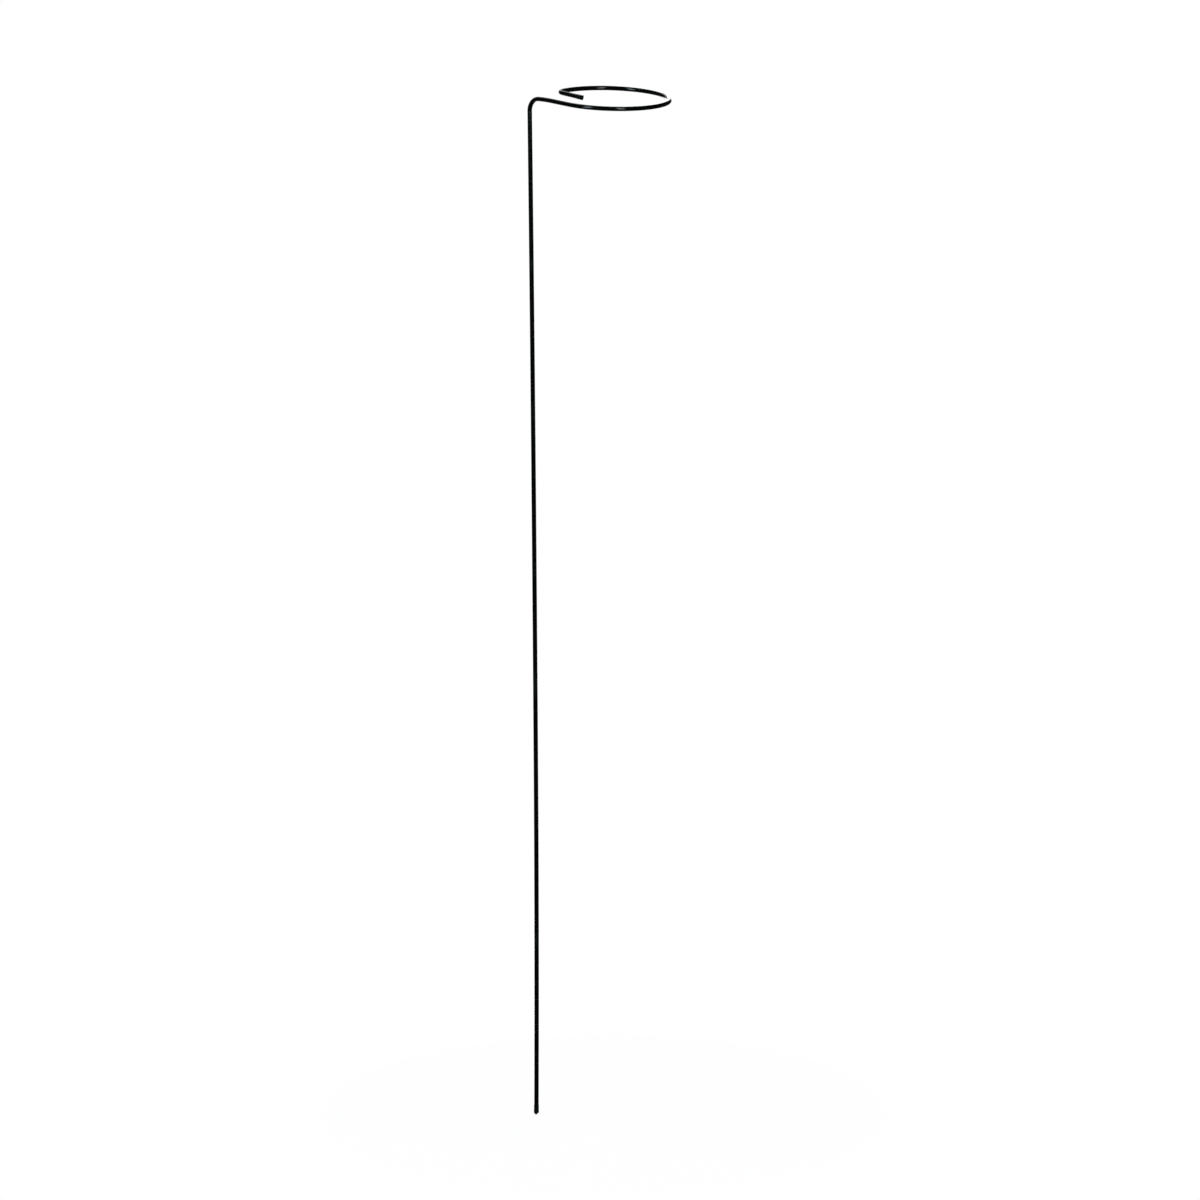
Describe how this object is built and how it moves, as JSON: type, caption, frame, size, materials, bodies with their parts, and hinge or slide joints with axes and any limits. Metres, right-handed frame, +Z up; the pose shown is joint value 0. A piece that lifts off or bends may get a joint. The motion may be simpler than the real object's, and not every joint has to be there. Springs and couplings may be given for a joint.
{
  "type": "plant support",
  "caption": "Garden stake bent from one coated wire, with an open ring at its top that holds a flower's stem.",
  "frame": {"origin": "centre of the stake's blunt end, the first point to enter the soil", "axes": "+Z up along the chord of the slightly bowed stake, +X level from the stake to the ring's centre"},
  "size_m": [0.1248, 0.1059, 0.9144],
  "materials": {
    "core_wire": "bright drawn steel wire, sealed under the coat",
    "plastic_sheath": "glossy extruded coat, green-black",
    "ground_end_seal": "dipped plastic bead, a little duller than the coat",
    "ring_end_seal": "dipped plastic bead, a little duller than the coat"
  },
  "bodies": {
    "root": {"core_wire": "core_wire", "plastic_sheath": "plastic_sheath", "ground_end_seal": "ground_end_seal", "ring_end_seal": "ring_end_seal"}
  },
  "joints": []
}
